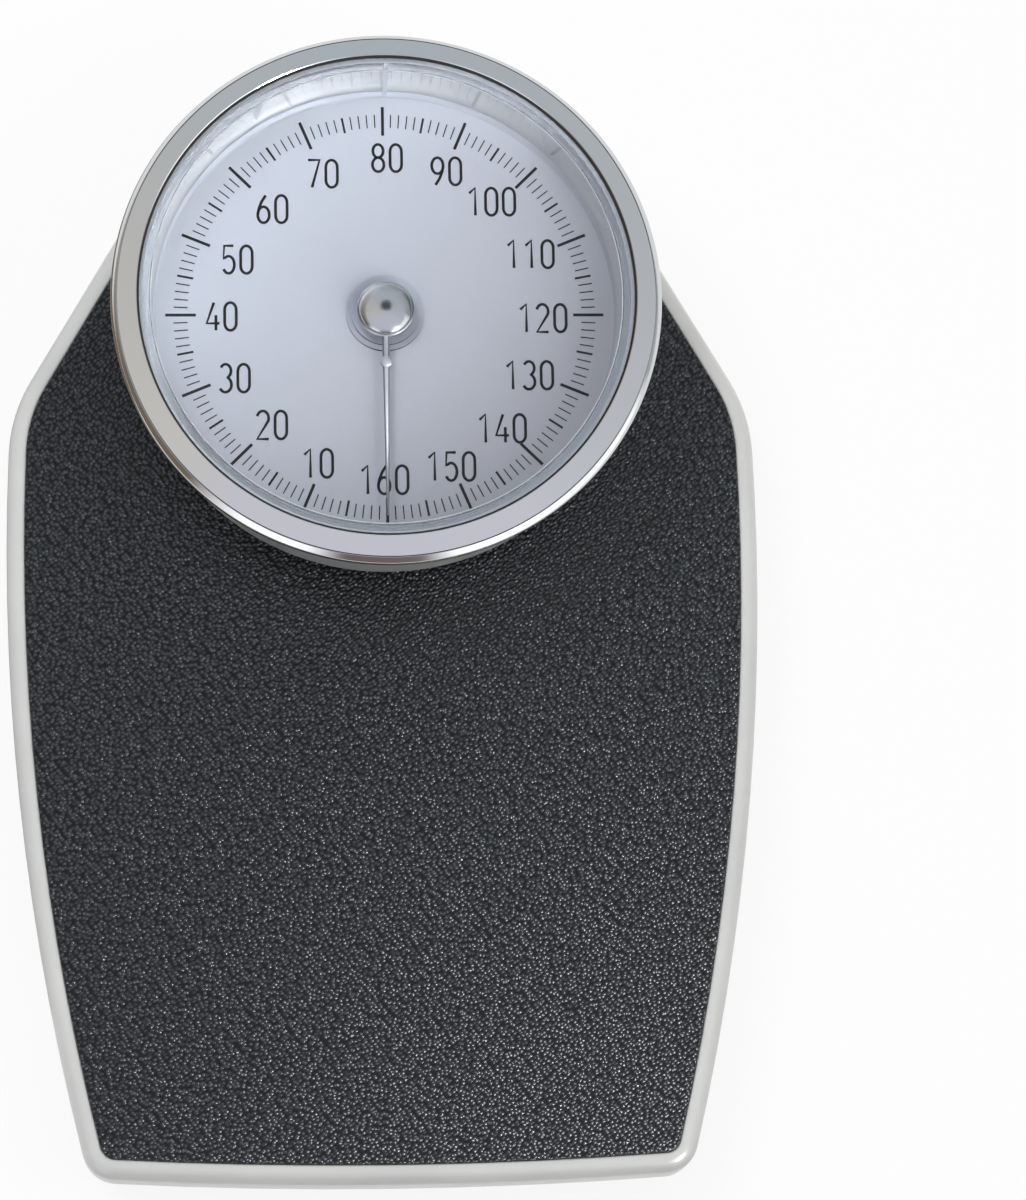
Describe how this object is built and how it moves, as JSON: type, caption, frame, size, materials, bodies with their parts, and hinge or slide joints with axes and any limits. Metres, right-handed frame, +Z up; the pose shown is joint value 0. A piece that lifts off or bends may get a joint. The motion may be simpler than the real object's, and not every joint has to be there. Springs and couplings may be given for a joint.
{
  "type": "mechanical bathroom scale",
  "caption": "Mechanical bathroom scale: a mat-covered platform on levers that turn a pointer over a raised round dial.",
  "frame": {"origin": "on the floor under the middle of the outline", "axes": "+X to the right, +Y from the heel edge towards the dial, +Z up"},
  "size_m": [0.29, 0.43, 0.1109],
  "materials": {
    "white_enamel": "satin stoved enamel on pressed steel",
    "black_vinyl": "embossed matt vinyl",
    "black_rubber": "matt moulded rubber",
    "chrome": "polished chrome plate",
    "clear_acrylic": "clear polished acrylic",
    "dial_aluminium": "silver-grey printed aluminium",
    "zinc_steel": "bright zinc-plated sheet steel",
    "spring_steel": "oiled spring wire",
    "silver_pointer": "bright anodised aluminium",
    "brass": "machined brass",
    "black_plastic": "moulded acetal"
  },
  "bodies": {
    "root": {"base_tray": "white_enamel", "rubber_feet": "black_rubber", "foot_rivets": "zinc_steel", "fulcrum_brackets": "zinc_steel", "fulcrum_rivets": "zinc_steel", "neck_column": "white_enamel", "neck_screws": "zinc_steel", "head_housing": "white_enamel", "head_screws": "zinc_steel", "bezel_ring": "chrome", "lens_seal": "black_rubber", "dial_lens": "clear_acrylic", "dial_plate": "dial_aluminium", "mechanism_chassis": "zinc_steel", "spindle_bridge": "zinc_steel", "bridge_screws": "zinc_steel", "lower_bushing": "brass", "upper_bushing": "brass", "rack_guides": "black_plastic", "crank_bracket": "zinc_steel", "crank_pin": "zinc_steel", "main_spring": "spring_steel", "spring_post": "zinc_steel", "rack_spring": "spring_steel", "guide_posts": "zinc_steel", "wheel_seat": "brass"},
    "platform": {"platform_plate": "white_enamel", "tread_mat": "black_vinyl", "load_brackets": "zinc_steel"},
    "long_lever_left": {"long_lever_left": "zinc_steel", "long_lever_left_pins": "spring_steel"},
    "long_lever_right": {"long_lever_right": "zinc_steel", "long_lever_right_pins": "spring_steel"},
    "short_lever_left": {"short_lever_left": "zinc_steel", "short_lever_left_pins": "spring_steel"},
    "short_lever_right": {"short_lever_right": "zinc_steel", "short_lever_right_pins": "spring_steel"},
    "spring_plate": {"calibration_plate": "zinc_steel"},
    "crank": {"bell_crank": "zinc_steel", "crank_stud": "spring_steel"},
    "rack": {"gear_rack": "brass", "rack_pin": "spring_steel"},
    "pointer": {"spindle": "spring_steel", "pinion": "brass", "pointer_boss": "clear_acrylic", "pointer": "silver_pointer", "hub_cap": "chrome"},
    "zero_wheel": {"zero_thumbwheel": "zinc_steel"},
    "zero_hanger": {"zero_hanger": "zinc_steel"}
  },
  "joints": [
    {"name": "long_lever_left_swing", "type": "hinge", "parent": "root", "child": "long_lever_left", "pos_m": [-0.09, -0.165, 0.02], "axis": [-1, 0, 0], "range_deg": [0, 1.75], "stiffness_Nm_per_rad": 1316, "springref_deg": -0.06},
    {"name": "long_lever_right_swing", "type": "hinge", "parent": "root", "child": "long_lever_right", "pos_m": [0.09, -0.165, 0.02], "axis": [-1, 0, 0], "range_deg": [0, 1.75]},
    {"name": "short_lever_left_swing", "type": "hinge", "parent": "root", "child": "short_lever_left", "pos_m": [-0.098, 0.065, 0.02], "axis": [1, 0, 0], "range_deg": [0, 1.75]},
    {"name": "short_lever_right_swing", "type": "hinge", "parent": "root", "child": "short_lever_right", "pos_m": [0.098, 0.065, 0.02], "axis": [1, 0, 0], "range_deg": [0, 1.75]},
    {"name": "platform_press", "type": "slide", "parent": "root", "child": "platform", "axis": [0, 0, -1], "range_m": [0, 0.000794]},
    {"name": "spring_plate_slide", "type": "slide", "parent": "root", "child": "spring_plate", "axis": [0, 0, -1], "range_m": [0, 0.00992], "deforming": ["main_spring"]},
    {"name": "crank_swing", "type": "hinge", "parent": "root", "child": "crank", "pos_m": [-0.01375, 0.148, 0.0302], "axis": [-1, 0, 0], "range_deg": [0, 47.38]},
    {"name": "rack_slide", "type": "slide", "parent": "root", "child": "rack", "axis": [0, 1, 0], "range_m": [0, 0.03142], "deforming": ["rack_spring"]},
    {"name": "pointer_turn", "type": "hinge", "parent": "root", "child": "pointer", "pos_m": [0, 0.1105, 0.08], "axis": [0, 0, -1], "range_deg": [0, 360]},
    {"name": "zero_wheel_turn", "type": "hinge", "parent": "root", "child": "zero_wheel", "pos_m": [0, 0.1895, 0.0665], "axis": [0, 0, 1], "range_deg": [-180, 180]},
    {"name": "zero_hanger_slide", "type": "slide", "parent": "root", "child": "zero_hanger", "axis": [0, 0, 1], "range_m": [-0.00041, 0.00041]}
  ],
  "couplings": [
    {"joint": "long_lever_right_swing", "follows": "long_lever_left_swing", "ratio": 1},
    {"joint": "short_lever_left_swing", "follows": "long_lever_left_swing", "ratio": 1},
    {"joint": "short_lever_right_swing", "follows": "long_lever_left_swing", "ratio": 1},
    {"joint": "platform_press", "follows": "long_lever_left_swing", "m_per_rad": 0.026},
    {"joint": "spring_plate_slide", "follows": "long_lever_left_swing", "m_per_rad": 0.325},
    {"joint": "crank_swing", "follows": "long_lever_left_swing", "ratio": 27.081},
    {"joint": "rack_slide", "follows": "long_lever_left_swing", "m_per_rad": 1.0288},
    {"joint": "pointer_turn", "follows": "long_lever_left_swing", "ratio": 205.76},
    {"joint": "zero_hanger_slide", "follows": "zero_wheel_turn", "m_per_rad": -0.00012732}
  ]
}
